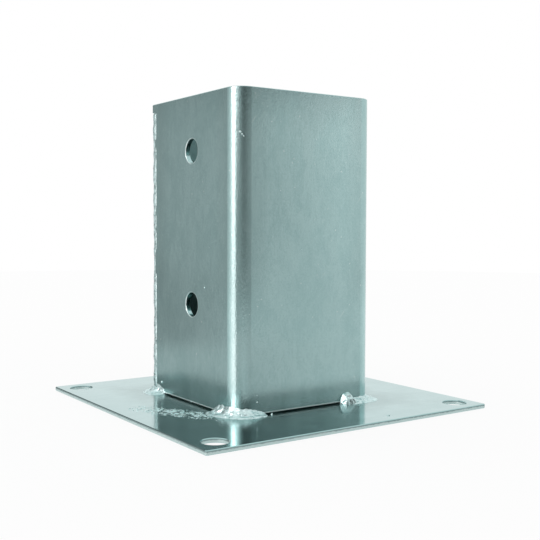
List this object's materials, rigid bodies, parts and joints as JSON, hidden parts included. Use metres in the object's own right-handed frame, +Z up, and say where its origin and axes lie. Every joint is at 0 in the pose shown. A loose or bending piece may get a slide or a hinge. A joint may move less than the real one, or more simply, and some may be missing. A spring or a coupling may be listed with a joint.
{
  "type": "timber post base",
  "caption": "Folded sheet-steel sleeve welded onto a square base plate: takes a square timber post, cross-bolted through the sleeve and anchored through the plate's corners.",
  "frame": {"origin": "centre of the base plate's underside, below the sleeve's axis", "axes": "+Z up along the sleeve's axis, +X along the cross-bolt holes; the welded corner seam is at the -X +Y corner"},
  "size_m": [0.15, 0.15, 0.1428],
  "materials": {
    "zinc_plate": "zinc-plated flat steel, nearly mirror bright with faint rolling lines",
    "zinc_sleeve": "zinc-plated folded sheet steel, satin with a fine upright grain",
    "weld_bead": "rippled weld metal under the zinc plating"
  },
  "bodies": {
    "root": {"base_plate": "zinc_plate", "post_sleeve": "zinc_sleeve", "seam_weld": "weld_bead", "foot_weld_front": "weld_bead", "foot_weld_right": "weld_bead", "foot_weld_back": "weld_bead", "foot_weld_seam": "weld_bead"}
  },
  "joints": []
}
